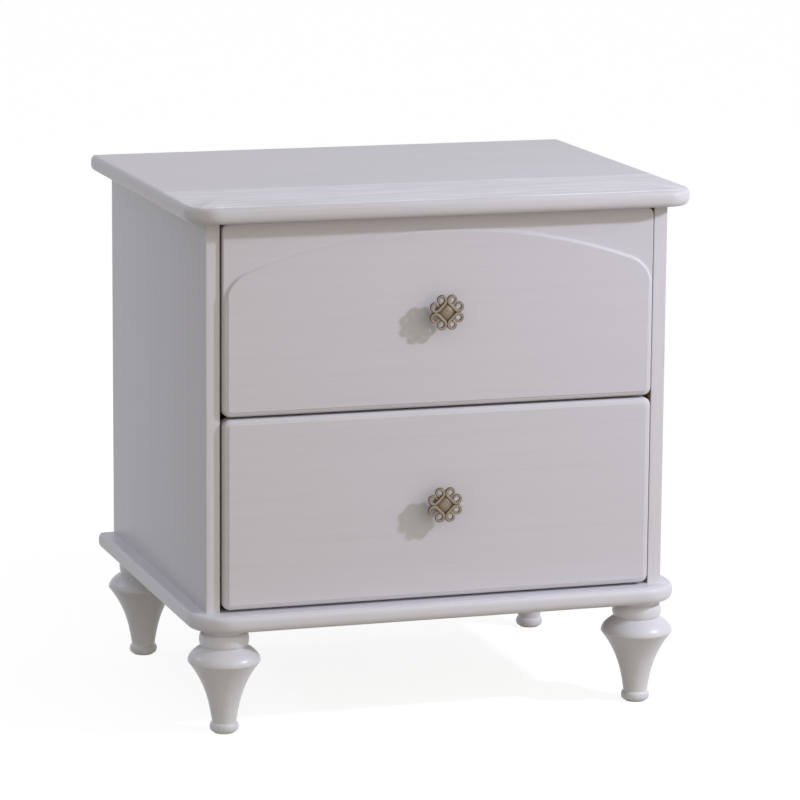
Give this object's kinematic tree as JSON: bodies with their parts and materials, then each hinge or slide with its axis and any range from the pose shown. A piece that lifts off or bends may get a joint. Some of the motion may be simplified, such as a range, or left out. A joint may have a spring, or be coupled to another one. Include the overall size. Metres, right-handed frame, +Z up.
{
  "type": "nightstand with drawers",
  "caption": "White bedside cabinet with two drawers on ball-bearing slides, an arched upper front, scrollwork knobs, rounded boards and turned legs.",
  "frame": {"origin": "on the floor, below the middle of the whole cabinet", "axes": "+Z up, +Y towards the back, +X to the right when facing the drawers; the drawers pull out along -Y"},
  "size_m": [0.557, 0.4334, 0.5656],
  "materials": {
    "white_paint": "satin white open-pore paint on oak veneer",
    "raw_wood": "clear lacquered pale wood",
    "plywood": "thin pale plywood",
    "zinc": "zinc-plated",
    "steel": "polished bearing balls",
    "bronze": "aged bronze, worn on its edges",
    "nylon": "moulded nylon"
  },
  "bodies": {
    "cabinet": {"top_board": "white_paint", "base_board": "white_paint", "left_side_panel": "white_paint", "right_side_panel": "white_paint", "back_panel": "white_paint", "front_top_rail": "raw_wood", "rear_top_rail": "raw_wood", "front_left_leg": "white_paint", "front_right_leg": "white_paint", "rear_left_leg": "white_paint", "rear_right_leg": "white_paint", "foot_glides": "nylon", "hanger_bolts": "zinc", "insert_nuts": "zinc", "upper_left_cabinet_rail": "zinc", "upper_right_cabinet_rail": "zinc", "lower_left_cabinet_rail": "zinc", "lower_right_cabinet_rail": "zinc", "cabinet_rail_screws": "zinc", "top_screws": "zinc", "base_screws": "zinc", "rail_dowels": "raw_wood", "back_panel_screws": "zinc"},
    "upper_drawer": {"upper_front": "white_paint", "upper_box_front": "raw_wood", "upper_box_left": "raw_wood", "upper_box_right": "raw_wood", "upper_box_back": "raw_wood", "upper_box_bottom": "plywood", "upper_knob": "bronze", "upper_knob_screw": "zinc", "upper_drawer_screws": "zinc", "upper_box_dowels": "raw_wood", "upper_left_drawer_rail": "zinc", "upper_right_drawer_rail": "zinc"},
    "upper_middle_rails": {"upper_left_middle_rail": "zinc", "upper_right_middle_rail": "zinc"},
    "upper_outer_bearings": {"upper_outer_cages": "zinc", "upper_outer_balls": "steel"},
    "upper_inner_bearings": {"upper_inner_cages": "zinc", "upper_inner_balls": "steel"},
    "lower_drawer": {"lower_front": "white_paint", "lower_box_front": "raw_wood", "lower_box_left": "raw_wood", "lower_box_right": "raw_wood", "lower_box_back": "raw_wood", "lower_box_bottom": "plywood", "lower_knob": "bronze", "lower_knob_screw": "zinc", "lower_drawer_screws": "zinc", "lower_box_dowels": "raw_wood", "lower_left_drawer_rail": "zinc", "lower_right_drawer_rail": "zinc"},
    "lower_middle_rails": {"lower_left_middle_rail": "zinc", "lower_right_middle_rail": "zinc"},
    "lower_outer_bearings": {"lower_outer_cages": "zinc", "lower_outer_balls": "steel"},
    "lower_inner_bearings": {"lower_inner_cages": "zinc", "lower_inner_balls": "steel"}
  },
  "joints": [
    {"name": "upper_drawer_slide", "type": "slide", "parent": "cabinet", "child": "upper_drawer", "axis": [0, -1, 0], "range_m": [0, 0.32]},
    {"name": "upper_middle_rails_slide", "type": "slide", "parent": "cabinet", "child": "upper_middle_rails", "axis": [0, -1, 0], "range_m": [0, 0.16]},
    {"name": "upper_outer_bearings_slide", "type": "slide", "parent": "cabinet", "child": "upper_outer_bearings", "axis": [0, -1, 0], "range_m": [0, 0.08]},
    {"name": "upper_inner_bearings_slide", "type": "slide", "parent": "cabinet", "child": "upper_inner_bearings", "axis": [0, -1, 0], "range_m": [0, 0.24]},
    {"name": "lower_drawer_slide", "type": "slide", "parent": "cabinet", "child": "lower_drawer", "axis": [0, -1, 0], "range_m": [0, 0.32]},
    {"name": "lower_middle_rails_slide", "type": "slide", "parent": "cabinet", "child": "lower_middle_rails", "axis": [0, -1, 0], "range_m": [0, 0.16]},
    {"name": "lower_outer_bearings_slide", "type": "slide", "parent": "cabinet", "child": "lower_outer_bearings", "axis": [0, -1, 0], "range_m": [0, 0.08]},
    {"name": "lower_inner_bearings_slide", "type": "slide", "parent": "cabinet", "child": "lower_inner_bearings", "axis": [0, -1, 0], "range_m": [0, 0.24]}
  ],
  "couplings": [
    {"joint": "upper_middle_rails_slide", "follows": "upper_drawer_slide", "ratio": 0.5},
    {"joint": "upper_outer_bearings_slide", "follows": "upper_drawer_slide", "ratio": 0.25},
    {"joint": "upper_inner_bearings_slide", "follows": "upper_drawer_slide", "ratio": 0.75},
    {"joint": "lower_middle_rails_slide", "follows": "lower_drawer_slide", "ratio": 0.5},
    {"joint": "lower_outer_bearings_slide", "follows": "lower_drawer_slide", "ratio": 0.25},
    {"joint": "lower_inner_bearings_slide", "follows": "lower_drawer_slide", "ratio": 0.75}
  ]
}
